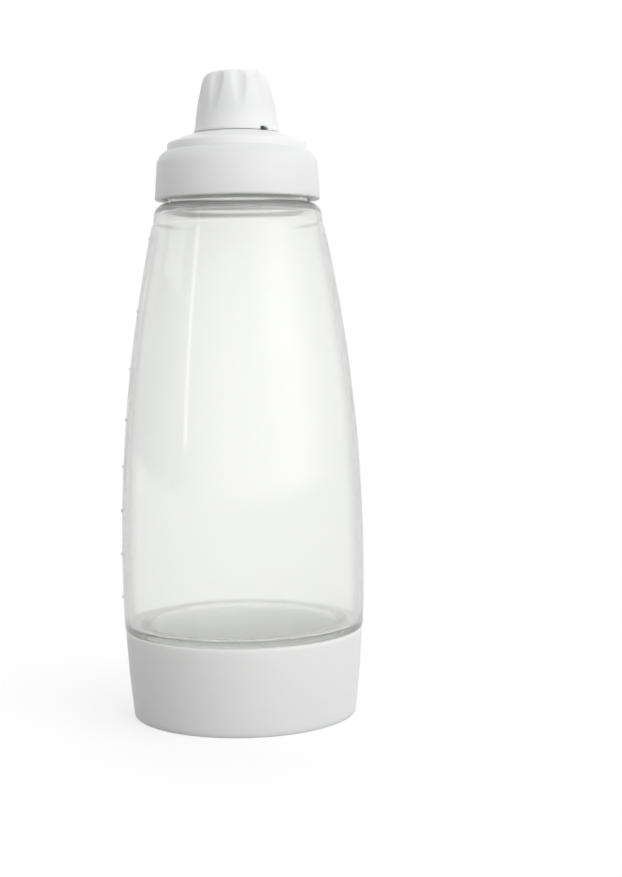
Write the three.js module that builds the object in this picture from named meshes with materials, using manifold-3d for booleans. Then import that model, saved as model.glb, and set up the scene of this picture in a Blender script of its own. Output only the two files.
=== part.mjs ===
// A clear squeeze bottle for batter with a white screw base, a screw collar, a domed nozzle plate
// and a fluted twist cap. Millimetres, +Z up, the origin at the centre of the base's underside.
import {
  BoxGeometry,
  BufferAttribute,
  BufferGeometry,
  CylinderGeometry,
  Group,
  LatheGeometry,
  MathUtils,
  Mesh,
  MeshStandardMaterial,
  Vector2,
} from 'three';
import { mergeVertices } from 'three/addons/utils/BufferGeometryUtils.js';
import Module from 'manifold-3d';

const wasm = await Module();
wasm.setup();

// Sizes that several pieces share
const seatGap = 0.3; // between a piece and what it seats on
const threadGap = 0.5; // between a ridge's crest and the wall it runs along
const cutOverrun = 1; // how far a cutter passes its face
const ridgeRoot = 0.8; // how deep a ridge is rooted in its wall
const wideSides = 40; // facets round the base, the bottle and the collar
const slimSides = 36; // facets round the spout and the cap
const cornerSteps = 2; // steps in a rounded corner
const chamferLimit = 0.7; // a corner no larger than this is one chamfer
const curveSteps = 3; // steps along a bulged wall
const ridgeTaperShare = 0.16; // of a ridge's sweep, at each end

// Screw base
const base = {
  height: 32.7,
  rimInset: 0.4, // its rim stands in from the bottle's heel
  footInset: 2.7, // its foot stands in from its rim
  wallBulge: 0.3,
  footEdge: 0.5,
  rimEdge: 0.5,
  floorThickness: 3.6,
  standWidth: 6.4,
  recessDepth: 1,
  recessDraft: 1.2,
  mouthDepth: 2,
  mouthWidening: 0.9,
  floorBlend: 6,
  floorInset: 0.6,
};
const baseThread = {
  lead: 8,
  starts: 2,
  ridgeHeight: 1.3,
  footWidth: 1.8,
  crestWidth: 0.8,
  turns: 0.75,
  matingTurns: 0.45,
};
const baseGasket = { thickness: 1.6, width: 1.3 }; // narrow enough to pass the base's ridges

// Bottle
const bottle = {
  wall: 2,
  skirtInset: 6.2, // from the heel to the skirt
  skirtWall: 2.3,
  spigotWall: 1,
  spigotLength: 1.4,
  ledgeThickness: 2.2,
  heelRadius: 45.5,
  heelEdge: 0.8,
  bellySwell: 0.5, // the belly stands out from the heel
  bellyHeight: 57,
  shoulderLineHeight: 184.8,
  shoulderStep: 0.45,
  shoulderWidth: 4.8, // from the neck to the band above the shoulder line
  bandFlare: 1.1, // from the band's top to the shoulder line
  bandHeight: 7.6,
  shoulderRise: 0.5,
  shoulderDrop: 3.2, // of the rounding from the shoulder's top to the band
  shoulderFlat: 1.4,
  shoulderBulge: 0.85,
  shoulderInnerEdge: 2.2,
  neckRadius: 26.5,
  neckHeight: 14,
  rimEdge: 0.4,
  innerEdge: 1.4,
};
const bellyRisePower = 2.05;
const bodySteps = 6;
const heelSteps = 2;
const skirtThreadRise = 7; // from the skirt's rim to the start of its ridges
const scale = {
  topMarkDrop: 4.8, // below the shoulder line
  markHeight: 0.9,
  markStand: 0.4,
};
const scaleParts = 9; // equal volumes up to the top mark
const scaleSlices = 400;
const markSteps = 3;
const markSweep = MathUtils.degToRad(11);
const markStart = MathUtils.degToRad(176);

// Neck, collar and nozzle plate
const neckThread = {
  lead: 6,
  starts: 2,
  ridgeHeight: 1.1,
  footWidth: 1.3,
  crestWidth: 0.6,
  turns: 0.75,
  matingTurns: 0.45,
};
const neckThreadRise = 5.2; // from the shoulder to the start of the neck's ridges
const neckGasket = { thickness: 1.3, width: 2.4 };
const collar = {
  skirtDrop: 15.8,
  footWall: 2.95,
  shoulderWall: 2.05,
  shoulderDrop: 4.8, // of the rounding from the collar's top to its wall
  shoulderBulge: 0.65,
  topFlat: 0.5,
  footEdge: 0.6,
  lipThickness: 2.2,
  lipWidth: 1.75,
  lipEdge: 0.3,
  beadHeight: 0.55,
  beadWidth: 1.6,
};
const plate = {
  flangeThickness: 1.6,
  wallThickness: 2.1,
  wallHeight: 5.5,
  wallEdge: 0.8,
  domeRise: 3.5,
  domeBulge: 0.05,
  domeThickness: 2.2,
  seatMargin: 0.35, // round the cap's foot
  plugThickness: 1.8,
  plugDepth: 2.4,
  rootFillet: 0.8,
};
const spout = {
  radius: 11.3,
  wall: 2.1,
  threadedHeight: 9.7,
  shoulderHeight: 1.7,
  shoulderEdge: 0.6,
  tipFootRadius: 8.2,
  tipRadius: 6.6,
  tipWall: 2,
  tipEdge: 0.6,
  tipHeight: 6.8,
};
const valve = {
  seatWidth: 2.9,
  flangeThickness: 1.5,
  membraneThickness: 1,
  membraneRise: 2.6,
  membraneBulge: 0.5,
  slitWidth: 0.4,
  slitLength: 11,
};
const retainer = { height: 2.4, edge: 0.4 };
const valveBoss = { thickness: 1.8, beadHeight: 0.7, beadWidth: 0.8, footDepth: 0.6 };

// Twist cap
const capThread = {
  lead: 6,
  starts: 2,
  ridgeHeight: 1,
  footWidth: 1.3,
  crestWidth: 0.6,
  turns: 0.7,
  matingTurns: 0.4,
};
const spoutThreadRise = 4; // from the plate's seat to the start of the spout's ridges
const liner = { thickness: 1.6 };
const cap = {
  footWall: 3.15,
  footBeadHeight: 1.1,
  footBeadStand: 0.35,
  footEdge: 0.3,
  topInset: 4.25, // from its foot to its top
  topWall: 2.5,
  topEdge: 3.4,
  wallBulge: 0.55,
  crownRise: 0.7,
  crownThickness: 1.9,
  boreHeight: 10.6,
  linerWell: 3,
};
const flute = { count: 9, radius: 4.2, depth: 1.1, sides: 24 };
const fluteEndShare = 0.6; // of the cap's height, down from its top
const fluteTurn = MathUtils.degToRad(-84);
const notch = { width: 3.4, height: 1.3, depth: 1.1 };
const notchTurn = MathUtils.degToRad(-50.5);

// Heights and radii that follow from the sizes above
const at = {};
at.baseFloor = base.floorThickness;
at.baseGasketFoot = at.baseFloor + seatGap;
at.skirtRim = at.baseGasketFoot + baseGasket.thickness + seatGap;
at.ledge = base.height + seatGap;
at.ledgeTop = at.ledge + bottle.ledgeThickness;
at.shoulder = bottle.shoulderLineHeight + bottle.bandHeight;
at.neckFoot = at.shoulder + bottle.shoulderRise;
at.neckRim = at.shoulder + bottle.neckHeight;
at.neckGasketFoot = at.neckRim + seatGap;
at.flangeFoot = at.neckGasketFoot + neckGasket.thickness + seatGap;
at.flangeTop = at.flangeFoot + plate.flangeThickness;
at.lipFoot = at.flangeTop + seatGap;
at.collarTop = at.lipFoot + collar.lipThickness;
at.collarFoot = at.lipFoot - collar.skirtDrop;
at.wallTop = at.flangeTop + plate.wallHeight;
at.capSeat = at.wallTop + plate.domeRise;
at.valveSeat = at.capSeat - plate.domeThickness;
at.valveFoot = at.valveSeat - seatGap - valve.flangeThickness;
at.retainerTop = at.valveFoot - seatGap;
at.retainerFoot = at.retainerTop - retainer.height;
at.spoutShoulder = at.capSeat + spout.threadedHeight;
at.tipFoot = at.spoutShoulder + spout.shoulderHeight;
at.tipTop = at.tipFoot + spout.tipHeight;
at.capFoot = at.capSeat + seatGap;
at.linerFoot = at.tipTop + seatGap;
at.capCeiling = at.linerFoot + liner.thickness + seatGap;
at.capShoulder = at.capCeiling + cap.crownThickness;
at.capTop = at.capShoulder + cap.crownRise;

const radii = {};
radii.skirt = bottle.heelRadius - bottle.skirtInset;
radii.skirtInner = radii.skirt - bottle.skirtWall;
radii.spigot = radii.skirtInner + bottle.spigotWall;
radii.belly = bottle.heelRadius + bottle.bellySwell;
radii.band = bottle.neckRadius + bottle.shoulderWidth;
radii.shoulderLine = radii.band + bottle.bandFlare;
radii.baseBore = radii.skirt + baseThread.ridgeHeight + threadGap;
radii.baseRim = bottle.heelRadius - base.rimInset;
radii.baseFoot = radii.baseRim - base.footInset;
radii.neckBore = bottle.neckRadius - bottle.wall;
radii.collarBore = bottle.neckRadius + neckThread.ridgeHeight + threadGap;
radii.lip = radii.collarBore - collar.lipWidth;
radii.flange = radii.collarBore - seatGap;
radii.plateWall = radii.lip - seatGap;
radii.spoutBore = spout.radius - spout.wall;
radii.valveBore = radii.spoutBore + valve.seatWidth;
radii.capBore = spout.radius + capThread.ridgeHeight + threadGap;
radii.capFoot = radii.capBore + cap.footWall;
radii.capTop = radii.capFoot - cap.topInset;
radii.capCeiling = radii.capTop - cap.topWall;

// A closed solid of a geometry, with its faces turned outwards
function solidOf(geometry) {
  const bare = geometry.clone();
  bare.deleteAttribute('normal');
  bare.deleteAttribute('uv');
  const merged = mergeVertices(bare.index ? bare : bare.toNonIndexed());
  const places = merged.getAttribute('position').array;
  const corners = [];
  let volume = 0;
  for (let i = 0; i < merged.index.count; i += 3) {
    const [a, b, c] = [0, 1, 2].map((k) => merged.index.getX(i + k));
    if (a === b || b === c || c === a) {
      continue;
    }
    const [ax, ay, az] = places.subarray(a * 3, a * 3 + 3);
    const [bx, by, bz] = places.subarray(b * 3, b * 3 + 3);
    const [cx, cy, cz] = places.subarray(c * 3, c * 3 + 3);
    volume += ax * (by * cz - bz * cy) - ay * (bx * cz - bz * cx) + az * (bx * cy - by * cx);
    corners.push([a, b, c]);
  }
  const outward = volume > 0 ? corners : corners.map(([a, b, c]) => [a, c, b]);
  return new wasm.Manifold(
    new wasm.Mesh({
      numProp: 3,
      vertProperties: new Float32Array(places),
      triVerts: new Uint32Array(outward.flat()),
    }),
  );
}

function geometryOf(solid) {
  const mesh = solid.getMesh();
  const geometry = new BufferGeometry();
  geometry.setAttribute('position', new BufferAttribute(new Float32Array(mesh.vertProperties), 3));
  geometry.setIndex(new BufferAttribute(new Uint32Array(mesh.triVerts), 1));
  geometry.computeVertexNormals();
  return geometry;
}

// Corners are [radius, height, rounding]; the outline closes on itself or ends on the axis
function outline(corners) {
  const count = corners.length;
  const points = [];
  corners.forEach(([radius, height, rounding], index) => {
    const here = new Vector2(radius, height);
    if (!rounding) {
      points.push(here);
      return;
    }
    const toLast = new Vector2(...corners[(index + count - 1) % count]).sub(here);
    const toNext = new Vector2(...corners[(index + 1) % count]).sub(here);
    const half = Math.abs(toLast.angleTo(toNext)) / 2;
    const reach = Math.min(rounding / Math.tan(half), toLast.length() / 2, toNext.length() / 2);
    const start = here.clone().addScaledVector(toLast.normalize(), reach);
    const end = here.clone().addScaledVector(toNext.normalize(), reach);
    const steps = rounding > chamferLimit ? cornerSteps : 1;
    for (let step = 0; step <= steps; step += 1) {
      const share = step / steps;
      const nearStart = start.clone().lerp(here, share);
      const nearEnd = here.clone().lerp(end, share);
      points.push(nearStart.lerp(nearEnd, share));
    }
  });
  if (corners[0][0] > 0) {
    points.push(points[0].clone());
  }
  return points;
}

// Points between two corners of a wall that swells by bulge at its middle
function bulged([radiusA, heightA], [radiusB, heightB], bulge) {
  const points = [];
  const across = new Vector2(heightB - heightA, radiusA - radiusB).normalize();
  for (let step = 1; step < curveSteps; step += 1) {
    const share = step / curveSteps;
    const swell = bulge * 4 * share * (1 - share);
    points.push([
      MathUtils.lerp(radiusA, radiusB, share) + across.x * swell,
      MathUtils.lerp(heightA, heightB, share) + across.y * swell,
    ]);
  }
  return points;
}

function turned(corners, sides) {
  return solidOf(new LatheGeometry(outline(corners), sides).rotateX(Math.PI / 2));
}

// A ridge of trapezoid section that winds round the axis; its ends sink into the wall
function ridge({ wallRadius, crestRadius, footWidth, crestWidth, start, sweep, height, lead, steps }) {
  const side = Math.sign(crestRadius - wallRadius);
  const rootRadius = wallRadius - side * ridgeRoot;
  const hiddenRadius = wallRadius - (side * ridgeRoot) / 2;
  const positions = [];
  for (let step = 0; step <= steps; step += 1) {
    const share = step / steps;
    const angle = start + sweep * share;
    const middle = height + (lead * sweep * share) / (2 * Math.PI);
    const rise = lead ? Math.min(1, share / ridgeTaperShare, (1 - share) / ridgeTaperShare) : 1;
    const topRadius = MathUtils.lerp(hiddenRadius, crestRadius, rise);
    const section = [
      [rootRadius, middle - footWidth / 2],
      [topRadius, middle - crestWidth / 2],
      [topRadius, middle + crestWidth / 2],
      [rootRadius, middle + footWidth / 2],
    ];
    section.forEach(([radius, z]) => positions.push(radius * Math.cos(angle), radius * Math.sin(angle), z));
  }
  const faces = [];
  for (let step = 0; step < steps; step += 1) {
    for (let corner = 0; corner < 4; corner += 1) {
      const a = step * 4 + corner;
      const b = step * 4 + ((corner + 1) % 4);
      faces.push(a, b, b + 4, a, b + 4, a + 4);
    }
  }
  const last = steps * 4;
  faces.push(0, 2, 1, 0, 3, 2, last, last + 1, last + 2, last, last + 2, last + 3);
  const geometry = new BufferGeometry();
  geometry.setAttribute('position', new BufferAttribute(new Float32Array(positions), 3));
  geometry.setIndex(faces);
  return solidOf(geometry);
}

// The ridges on the inner piece of a screw joint
function outerRidges(thread, wallRadius, height, sides) {
  const steps = Math.round(thread.turns * sides);
  return Array.from({ length: thread.starts }, (_, index) =>
    ridge({
      wallRadius,
      crestRadius: wallRadius + thread.ridgeHeight,
      footWidth: thread.footWidth,
      crestWidth: thread.crestWidth,
      start: (index * 2 * Math.PI) / thread.starts,
      sweep: (steps / sides) * 2 * Math.PI,
      height,
      lead: thread.lead,
      steps,
    }),
  );
}

// The ridges on the outer piece run midway between them, above (side 1) or below (side -1)
function matingRidges(thread, wallRadius, height, sides, side) {
  const steps = Math.round(thread.matingTurns * sides);
  const lag = Math.round(((thread.turns - thread.matingTurns) / 2) * sides);
  const pitch = thread.lead / thread.starts;
  const boreRadius = wallRadius + thread.ridgeHeight + threadGap;
  return Array.from({ length: thread.starts }, (_, index) =>
    ridge({
      wallRadius: boreRadius,
      crestRadius: boreRadius - thread.ridgeHeight,
      footWidth: thread.footWidth,
      crestWidth: thread.crestWidth,
      start: (index / thread.starts + lag / sides) * 2 * Math.PI,
      sweep: (steps / sides) * 2 * Math.PI,
      height: height + (side * pitch) / 2 + (thread.lead * lag) / sides,
      lead: thread.lead,
      steps,
    }),
  );
}

function joined(solid, additions) {
  return additions.reduce((whole, addition) => whole.add(addition), solid);
}

function bodyRadius(height) {
  const above = height > bottle.bellyHeight;
  const reach = above ? bottle.shoulderLineHeight - bottle.bellyHeight : bottle.bellyHeight - at.ledge;
  const drop = radii.belly - (above ? radii.shoulderLine : bottle.heelRadius);
  const share = Math.abs(height - bottle.bellyHeight) / reach;
  return radii.belly - drop * share ** (above ? bellyRisePower : 2);
}

// The body's outline between two heights, inset by its wall or not
function bodyOutline(from, to, steps, inset) {
  const points = [];
  for (let step = 1; step < steps; step += 1) {
    const height = MathUtils.lerp(from, to, step / steps);
    points.push([bodyRadius(height) - inset, height]);
  }
  return points;
}

// Marks stand where the chamber holds equal parts of what it holds up to the top mark
function markHeights() {
  const topMark = bottle.shoulderLineHeight - scale.topMarkDrop;
  const slice = (topMark - at.baseFloor) / scaleSlices;
  const volumes = [0];
  for (let index = 0; index < scaleSlices; index += 1) {
    const height = at.baseFloor + slice * (index + 0.5);
    const radius = height < at.ledgeTop ? radii.skirtInner : bodyRadius(height) - bottle.wall;
    volumes.push(volumes[index] + slice * Math.PI * radius ** 2);
  }
  const whole = volumes[scaleSlices];
  const heights = [];
  for (let part = 1; part <= scaleParts; part += 1) {
    const index = volumes.findIndex((volume) => volume >= (whole * part) / scaleParts - slice ** 3);
    heights.push(at.baseFloor + slice * index);
  }
  return heights.filter((height) => height > at.ledgeTop + scale.markHeight);
}

function makeBase() {
  const foot = [radii.baseFoot, 0, base.footEdge];
  const rim = [radii.baseRim, base.height, base.rimEdge];
  const cup = turned(
    [
      [0, base.recessDepth],
      [radii.baseFoot - base.standWidth, base.recessDepth],
      [radii.baseFoot - base.standWidth + base.recessDraft, 0],
      foot,
      ...bulged(foot, rim, base.wallBulge),
      rim,
      [radii.baseBore + base.mouthWidening, base.height],
      [radii.baseBore, base.height - base.mouthDepth],
      [radii.baseBore, at.baseFloor + base.floorBlend],
      [radii.baseBore - base.floorInset, at.baseFloor],
      [0, at.baseFloor],
    ],
    wideSides,
  );
  const height = at.skirtRim + skirtThreadRise;
  return joined(cup, matingRidges(baseThread, radii.skirt, height, wideSides, 1));
}

function ring(innerRadius, width, foot, thickness, sides) {
  return turned(
    [
      [innerRadius, foot],
      [innerRadius + width, foot],
      [innerRadius + width, foot + thickness],
      [innerRadius, foot + thickness],
    ],
    sides,
  );
}

function makeBottle() {
  const { wall } = bottle;
  const innerBand = radii.band - wall;
  const stepTop = [radii.shoulderLine - bottle.shoulderStep, bottle.shoulderLineHeight + bottle.shoulderStep];
  const bandShare = (at.shoulder - bottle.shoulderDrop - stepTop[1]) / (at.shoulder - stepTop[1]);
  const shoulderFoot = [MathUtils.lerp(stepTop[0], radii.band, bandShare), at.shoulder - bottle.shoulderDrop];
  const shoulderTop = [bottle.neckRadius + bottle.shoulderFlat, at.neckFoot];
  const shell = turned(
    [
      [radii.skirtInner, at.skirtRim - bottle.spigotLength],
      [radii.spigot, at.skirtRim - bottle.spigotLength],
      [radii.spigot, at.skirtRim],
      [radii.skirt, at.skirtRim],
      [radii.skirt, at.ledge, bottle.heelEdge],
      [bottle.heelRadius, at.ledge, bottle.heelEdge],
      ...bodyOutline(at.ledge, bottle.bellyHeight, heelSteps, 0),
      [radii.belly, bottle.bellyHeight],
      ...bodyOutline(bottle.bellyHeight, bottle.shoulderLineHeight, bodySteps, 0),
      [radii.shoulderLine, bottle.shoulderLineHeight],
      stepTop,
      shoulderFoot,
      ...bulged(shoulderFoot, shoulderTop, bottle.shoulderBulge),
      shoulderTop,
      [bottle.neckRadius, at.neckFoot, bottle.rimEdge],
      [bottle.neckRadius, at.neckRim, bottle.rimEdge],
      [radii.neckBore, at.neckRim, bottle.rimEdge],
      [radii.neckBore, at.shoulder - wall, bottle.innerEdge],
      [innerBand, at.shoulder - wall, bottle.shoulderInnerEdge],
      [radii.shoulderLine - wall, bottle.shoulderLineHeight],
      ...bodyOutline(bottle.shoulderLineHeight, bottle.bellyHeight, bodySteps, wall),
      [radii.belly - wall, bottle.bellyHeight],
      ...bodyOutline(bottle.bellyHeight, at.ledge, heelSteps, wall),
      [bottle.heelRadius - wall, at.ledgeTop, bottle.innerEdge],
      [radii.skirtInner, at.ledgeTop, bottle.innerEdge],
    ],
    wideSides,
  );
  const marks = markHeights().map((height) =>
    ridge({
      wallRadius: bodyRadius(height),
      crestRadius: bodyRadius(height) + scale.markStand,
      footWidth: scale.markHeight,
      crestWidth: scale.markHeight,
      start: markStart,
      sweep: markSweep,
      height,
      lead: 0,
      steps: markSteps,
    }),
  );
  return joined(shell, [
    ...outerRidges(baseThread, radii.skirt, at.skirtRim + skirtThreadRise, wideSides),
    ...outerRidges(neckThread, bottle.neckRadius, at.shoulder + neckThreadRise, wideSides),
    ...marks,
  ]);
}

function makeCollar() {
  const beadMiddle = at.flangeFoot - seatGap - collar.beadWidth / 2;
  const shoulderFoot = [radii.collarBore + collar.shoulderWall, at.collarTop - collar.shoulderDrop];
  const shoulderTop = [radii.lip + collar.topFlat, at.collarTop];
  const shell = turned(
    [
      [radii.collarBore, at.collarFoot, collar.footEdge],
      [radii.collarBore + collar.footWall, at.collarFoot, collar.footEdge],
      shoulderFoot,
      ...bulged(shoulderFoot, shoulderTop, collar.shoulderBulge),
      shoulderTop,
      [radii.lip, at.collarTop, collar.lipEdge],
      [radii.lip, at.lipFoot],
      [radii.collarBore, at.lipFoot],
      [radii.collarBore, beadMiddle + collar.beadWidth / 2],
      [radii.collarBore - collar.beadHeight - seatGap, beadMiddle],
      [radii.collarBore, beadMiddle - collar.beadWidth / 2],
    ],
    wideSides,
  );
  const height = at.shoulder + neckThreadRise;
  return joined(shell, matingRidges(neckThread, bottle.neckRadius, height, wideSides, -1));
}

function makeNozzlePlate() {
  const plugRadius = radii.neckBore - seatGap;
  const plugInner = plugRadius - plate.plugThickness;
  const wallInner = radii.plateWall - plate.wallThickness;
  const bossRadius = radii.valveBore + valveBoss.thickness;
  const beadTop = at.retainerFoot - seatGap;
  const beadFoot = beadTop - valveBoss.beadWidth;
  const bossFoot = beadFoot - valveBoss.footDepth;
  const wallTop = [radii.plateWall, at.wallTop, plate.wallEdge];
  const seatEdge = [radii.capFoot + plate.seatMargin, at.capSeat];
  const domeInner = [wallInner, at.wallTop - plate.domeThickness, plate.wallEdge];
  const bossTop = [bossRadius, at.valveSeat, plate.rootFillet];
  const shell = turned(
    [
      [plugInner, at.neckRim - plate.plugDepth],
      [plugRadius, at.neckRim - plate.plugDepth],
      [plugRadius, at.flangeFoot],
      [radii.flange, at.flangeFoot],
      [radii.flange, at.flangeTop],
      [radii.plateWall, at.flangeTop],
      wallTop,
      ...bulged(wallTop, seatEdge, plate.domeBulge),
      seatEdge,
      [spout.radius, at.capSeat],
      [spout.radius, at.spoutShoulder, spout.shoulderEdge],
      [spout.tipFootRadius, at.tipFoot],
      [spout.tipRadius, at.tipTop, spout.tipEdge],
      [spout.tipRadius - spout.tipWall, at.tipTop],
      [spout.tipFootRadius - spout.tipWall, at.tipFoot],
      [radii.spoutBore, at.spoutShoulder - spout.wall],
      [radii.spoutBore, at.valveSeat],
      [radii.valveBore, at.valveSeat],
      [radii.valveBore, beadTop],
      [radii.valveBore - valveBoss.beadHeight, beadTop],
      [radii.valveBore - valveBoss.beadHeight, beadFoot],
      [radii.valveBore, bossFoot],
      [bossRadius, bossFoot],
      bossTop,
      ...bulged(bossTop, domeInner, -plate.domeBulge),
      domeInner,
      [wallInner, at.flangeTop],
      [plugInner, at.flangeTop],
    ],
    slimSides,
  );
  return joined(shell, outerRidges(capThread, spout.radius, at.capSeat + spoutThreadRise, slimSides));
}

function makeFlowValve() {
  const radius = radii.valveBore - seatGap;
  const top = at.valveFoot + valve.flangeThickness;
  const edge = radii.spoutBore - seatGap;
  const crown = [0, top + valve.membraneRise];
  const hollow = [0, crown[1] - valve.membraneThickness];
  const innerEdge = [edge - valve.membraneThickness, at.valveFoot];
  const disc = turned(
    [
      hollow,
      ...bulged(hollow, innerEdge, -valve.membraneBulge),
      innerEdge,
      [radius, at.valveFoot],
      [radius, top],
      [edge, top],
      ...bulged([edge, top], crown, valve.membraneBulge),
      crown,
    ],
    slimSides,
  );
  const slitHeight = valve.membraneRise + valve.flangeThickness + cutOverrun;
  const slitMiddle = at.valveFoot + slitHeight / 2;
  const slit = new BoxGeometry(valve.slitLength, valve.slitWidth, slitHeight).translate(0, 0, slitMiddle);
  const crossSlit = slit.clone().rotateZ(Math.PI / 2);
  return disc.subtract(solidOf(slit)).subtract(solidOf(crossSlit));
}

function makeRetainer() {
  const radius = radii.valveBore - seatGap;
  return turned(
    [
      [radii.spoutBore - seatGap, at.retainerFoot, retainer.edge],
      [radius, at.retainerFoot, retainer.edge],
      [radius, at.retainerTop],
      [radii.spoutBore - seatGap, at.retainerTop],
    ],
    slimSides,
  );
}

function makeLiner() {
  return turned(
    [
      [0, at.linerFoot],
      [radii.capCeiling - seatGap, at.linerFoot],
      [radii.capCeiling - seatGap, at.linerFoot + liner.thickness],
      [0, at.linerFoot + liner.thickness],
    ],
    slimSides,
  );
}

// A flute's cutter leans outwards, so that its cut is deepest at the cap's top and fades below
function fluteCutter(index) {
  const fadeHeight = at.capTop - fluteEndShare * (at.capTop - at.capFoot);
  const wallShare = (fadeHeight - at.capFoot) / (at.capShoulder - at.capFoot);
  const fadeRadius = MathUtils.lerp(radii.capFoot, radii.capTop, wallShare) + cap.wallBulge;
  const low = new Vector2(fadeRadius + flute.radius, fadeHeight);
  const high = new Vector2(radii.capTop + flute.radius - flute.depth, at.capShoulder);
  const along = high.clone().sub(low);
  const middle = low.clone().add(high).divideScalar(2);
  return new CylinderGeometry(flute.radius, flute.radius, along.length() * 2, flute.sides)
    .rotateX(Math.PI / 2)
    .rotateY(Math.atan2(along.x, along.y))
    .translate(middle.x, 0, middle.y)
    .rotateZ(fluteTurn + (index * 2 * Math.PI) / flute.count);
}

function makeTwistCap() {
  const beadTop = at.capFoot + cap.footBeadHeight;
  const wallFoot = [radii.capFoot - cap.footBeadStand, beadTop + cap.footBeadStand];
  const wallTop = [radii.capTop, at.capShoulder, cap.topEdge];
  const shell = turned(
    [
      [0, at.capCeiling],
      [radii.capCeiling, at.capCeiling],
      [radii.capCeiling, at.capCeiling - cap.linerWell],
      [radii.capBore, at.capFoot + cap.boreHeight],
      [radii.capBore, at.capFoot],
      [radii.capFoot, at.capFoot, cap.footEdge],
      [radii.capFoot, beadTop],
      wallFoot,
      ...bulged(wallFoot, wallTop, cap.wallBulge),
      wallTop,
      [0, at.capTop],
    ],
    slimSides,
  );
  const height = at.capSeat + spoutThreadRise;
  let solid = joined(shell, matingRidges(capThread, spout.radius, height, slimSides, -1));
  for (let index = 0; index < flute.count; index += 1) {
    solid = solid.subtract(solidOf(fluteCutter(index)));
  }
  const cut = new BoxGeometry(notch.depth + cutOverrun, notch.width, notch.height + cutOverrun)
    .translate(
      radii.capFoot - (notch.depth - cutOverrun) / 2,
      0,
      at.capFoot + (notch.height - cutOverrun) / 2,
    )
    .rotateZ(notchTurn);
  return solid.subtract(solidOf(cut));
}

// Finishes
const whitePlastic = { color: 0xf1f2f1, roughness: 0.42, metalness: 0 };
const creamPlastic = { color: 0xe9eae6, roughness: 0.5, metalness: 0 };
const clearPlastic = { color: 0xe9edec, roughness: 0.12, metalness: 0, transparent: true, opacity: 0.35 };
const silicone = { color: 0xd9dcdb, roughness: 0.6, metalness: 0 };

const dispenser = new Group();

function place(name, solid, finish) {
  const mesh = new Mesh(geometryOf(solid), new MeshStandardMaterial(finish));
  mesh.name = name;
  dispenser.add(mesh);
}

place('base_cup', makeBase(), whitePlastic);
place(
  'base_gasket',
  ring(radii.spigot + seatGap, baseGasket.width, at.baseGasketFoot, baseGasket.thickness, wideSides),
  silicone,
);
place('bottle', makeBottle(), clearPlastic);
place(
  'neck_gasket',
  ring(radii.neckBore, neckGasket.width, at.neckGasketFoot, neckGasket.thickness, wideSides),
  silicone,
);
place('collar', makeCollar(), whitePlastic);
place('nozzle_plate', makeNozzlePlate(), whitePlastic);
place('flow_valve', makeFlowValve(), silicone);
place('valve_retainer', makeRetainer(), creamPlastic);
place('cap_liner', makeLiner(), silicone);
place('twist_cap', makeTwistCap(), whitePlastic);

export default dispenser;
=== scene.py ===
# Batter dispenser: a clear squeeze bottle on a white screw base, closed by a screw collar,
# a domed nozzle plate and a fluted twist cap. Each piece stands for one solid of the frame.
import math
from types import SimpleNamespace

import bmesh
import bpy
from mathutils import Matrix, Vector


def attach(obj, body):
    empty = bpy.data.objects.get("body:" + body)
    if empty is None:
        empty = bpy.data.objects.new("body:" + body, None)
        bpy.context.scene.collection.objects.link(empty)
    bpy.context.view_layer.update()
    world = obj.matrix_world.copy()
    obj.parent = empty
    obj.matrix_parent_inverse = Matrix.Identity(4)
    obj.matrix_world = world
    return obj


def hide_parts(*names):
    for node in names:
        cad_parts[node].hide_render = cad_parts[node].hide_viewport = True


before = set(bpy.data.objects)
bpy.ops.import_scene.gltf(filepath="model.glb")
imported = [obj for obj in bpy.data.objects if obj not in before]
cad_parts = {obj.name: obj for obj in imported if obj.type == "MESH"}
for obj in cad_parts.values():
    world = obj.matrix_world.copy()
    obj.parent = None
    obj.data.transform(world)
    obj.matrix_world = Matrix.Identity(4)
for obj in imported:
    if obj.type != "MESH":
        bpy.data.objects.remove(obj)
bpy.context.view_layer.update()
print("frame loaded with", len(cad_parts), "solids")

mm = 0.001
fullTurn = 2 * math.pi
wideSides = 160  # round the base, the bottle and the collar
slimSides = 180  # round the spout and the cap
threadGap = 0.5  # between a ridge's crest and the wall it runs along, mm
# How round moulded edges are, mm
sharp, crisp, fine, mild, soft, full = 0.15, 0.2, 0.3, 0.4, 0.5, 0.6

# Tools for the modelling
turning = {
    "largeRound": 0.9,  # mm, from here a corner gets the larger number of steps
    "smallSteps": 3,
    "largeSteps": 7,
    "edgeShare": 0.48,  # the most of an edge that one rounding may take
    "weld": 2e-7,  # m
    "pickReach": 1e-6,  # m
    "smoothAngle": 34,
}


def setMode(mode):
    bpy.ops.object.mode_set(mode=mode)


def selectAll():
    bpy.ops.mesh.select_all(action="SELECT")


def letGo():
    if bpy.context.mode != "OBJECT":
        setMode("OBJECT")
    bpy.ops.object.select_all(action="DESELECT")


def hold(obj):
    letGo()
    obj.select_set(True)
    bpy.context.view_layer.objects.active = obj


def pick(obj, test):
    # In edit mode, selects the vertices whose place passes the test
    mesh = bmesh.from_edit_mesh(obj.data)
    for part in (*mesh.faces, *mesh.edges, *mesh.verts):
        part.select = False
    for vertex in mesh.verts:
        vertex.select = test(vertex.co)
    mesh.select_flush_mode()
    bmesh.update_edit_mesh(obj.data)


def pickPlaces(obj, *places):
    spots = [Vector((radius * mm, 0, height * mm)) for radius, height in places]
    pick(obj, lambda place: any((place - spot).length < turning["pickReach"] for spot in spots))


def swollen(start, end, bulge, steps):
    # Points between two corners of a wall that swells by bulge at its middle
    across = Vector((end[1] - start[1], start[0] - end[0])).normalized()
    points = []
    for step in range(1, steps):
        share = step / steps
        swell = bulge * 4 * share * (1 - share)
        points.append(
            (
                start[0] + (end[0] - start[0]) * share + across.x * swell,
                start[1] + (end[1] - start[1]) * share + across.y * swell,
            )
        )
    return points


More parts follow.
